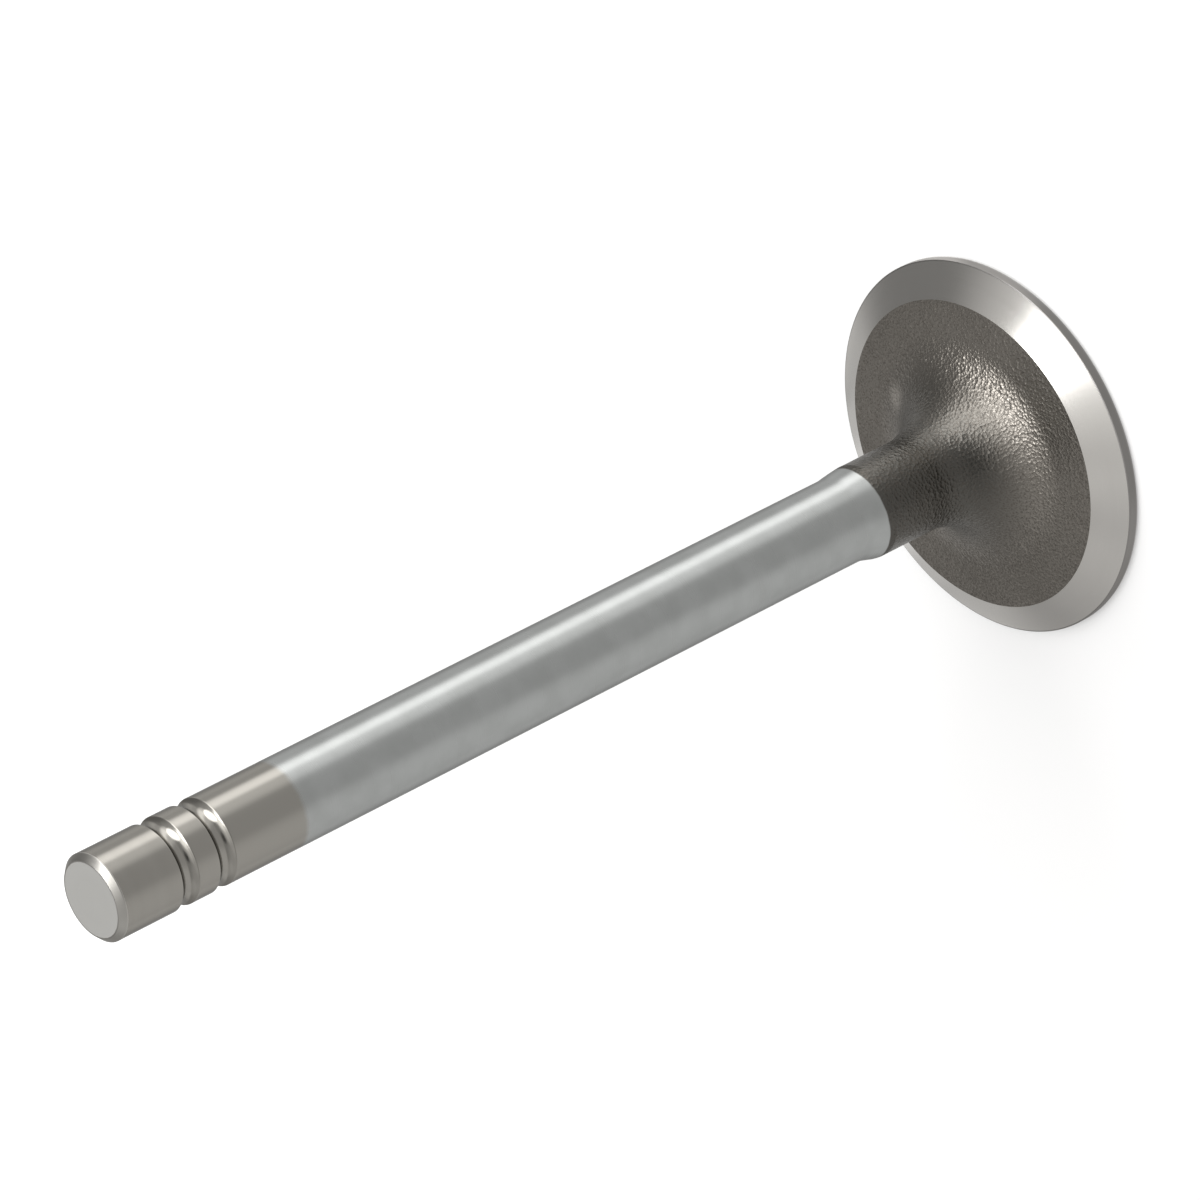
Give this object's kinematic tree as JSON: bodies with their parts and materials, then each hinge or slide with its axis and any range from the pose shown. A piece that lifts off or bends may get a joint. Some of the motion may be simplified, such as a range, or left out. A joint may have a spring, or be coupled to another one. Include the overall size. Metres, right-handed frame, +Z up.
{
  "type": "engine valve",
  "caption": "Poppet engine valve standing on its head: ground stem with keeper grooves near the tip, forged trumpet neck and a conical seat.",
  "frame": {"origin": "centre of the combustion face, on which the valve stands", "axes": "+Z up the stem, from the head to the tip; X and Y lie anywhere in the plane of the combustion face"},
  "size_m": [0.036, 0.036, 0.1058],
  "materials": {
    "valve_steel": "ground and hard-chromed stem, bare ground stem end, dark blasted forging at the neck and underside, bright turned seat"
  },
  "bodies": {
    "root": {"valve": "valve_steel"}
  },
  "joints": []
}
